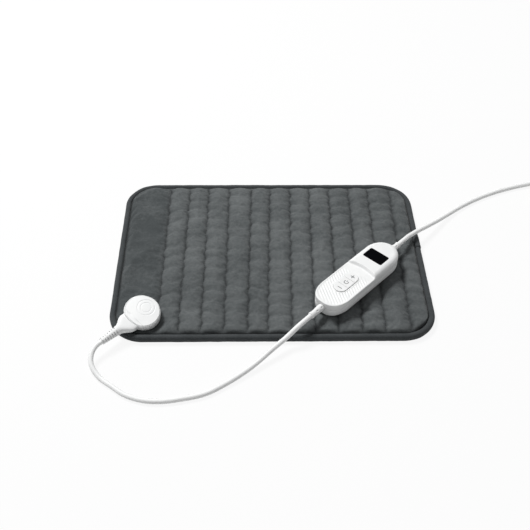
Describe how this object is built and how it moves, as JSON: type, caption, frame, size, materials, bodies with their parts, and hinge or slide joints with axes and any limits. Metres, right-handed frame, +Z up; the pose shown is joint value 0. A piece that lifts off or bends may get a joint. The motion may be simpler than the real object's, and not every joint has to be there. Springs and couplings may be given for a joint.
{
  "type": "heating pad with controller",
  "caption": "Quilted grey plush heating pad with a rolled edge, a round plug-in corner socket and a white hand controller with a display and push buttons on a mains lead.",
  "frame": {"origin": "the middle of the pad's underside, on the table", "axes": "+X along the pad's long side to the right, +Y towards its back edge, +Z up"},
  "size_m": [0.7045, 0.3933, 0.0377],
  "materials": {
    "plush": "short grey plush",
    "binding": "rolled dark grey edging",
    "inner_cloth": "undyed cloth",
    "wire": "red silicone sheath",
    "white_shell": "white satin moulding",
    "white_rubber": "white soft sheath",
    "black_window": "black polished window",
    "dark_part": "dark grey moulding",
    "capacitor_case": "red dipped case",
    "board": "green lacquered board",
    "contact": "bright brass",
    "steel": "plated steel"
  },
  "bodies": {
    "pad": {"edge_binding": "binding", "pad_bottom_cover": "plush", "pad_top_cover": "plush", "wire_carrier_cloth": "inner_cloth", "wadding_sheet": "inner_cloth", "heating_wire": "wire", "thermal_fuse": "dark_part", "temperature_sensor": "dark_part", "socket_cover": "white_shell", "socket_base": "white_shell", "socket_clamp_plate": "white_shell", "socket_screw_1": "steel", "socket_screw_2": "steel", "socket_pin_block": "dark_part", "controller_top_shell": "white_shell", "controller_bottom_shell": "white_shell", "display_window": "black_window", "display_module": "dark_part", "circuit_board": "board", "triac": "dark_part", "film_capacitor": "capacitor_case", "control_chip": "dark_part", "mains_fuse": "steel", "pad_lead_sleeve": "white_rubber", "mains_lead_sleeve": "white_rubber", "pad_lead": "white_rubber", "mains_lead": "white_rubber", "mains_coil": "white_rubber", "mains_tail": "white_rubber", "coil_tie": "dark_part", "mains_plug_relief": "white_rubber", "mains_plug_body": "white_shell", "mains_plug_pin_1": "steel", "mains_plug_pin_2": "steel", "socket_pin_1": "contact", "controller_screw_1": "steel", "socket_pin_2": "contact", "controller_screw_2": "steel", "socket_pin_3": "contact", "controller_screw_3": "steel", "socket_pin_4": "contact", "controller_screw_4": "steel", "minus_button_switch": "dark_part", "power_button_switch": "dark_part", "plus_button_switch": "dark_part"},
    "plug": {"plug_body": "white_shell", "plug_relief": "white_rubber", "plug_tongue": "dark_part", "plug_contact_1": "contact", "plug_contact_2": "contact", "plug_contact_3": "contact", "plug_contact_4": "contact"},
    "minus_button": {"minus_button": "white_rubber"},
    "power_button": {"power_button": "white_rubber"},
    "plus_button": {"plus_button": "white_rubber"}
  },
  "joints": [
    {"name": "plug_pull", "type": "slide", "parent": "pad", "child": "plug", "axis": [-0.7119, -0.7013, -0.0373], "range_m": [0, 0.014], "deforming": ["pad_lead"]},
    {"name": "minus_button_press", "type": "slide", "parent": "pad", "child": "minus_button", "axis": [0, 0, -1], "range_m": [0, 0.0008], "stiffness_N_per_m": 500},
    {"name": "power_button_press", "type": "slide", "parent": "pad", "child": "power_button", "axis": [0, 0, -1], "range_m": [0, 0.0008], "stiffness_N_per_m": 500},
    {"name": "plus_button_press", "type": "slide", "parent": "pad", "child": "plus_button", "axis": [0, 0, -1], "range_m": [0, 0.0008], "stiffness_N_per_m": 500}
  ]
}
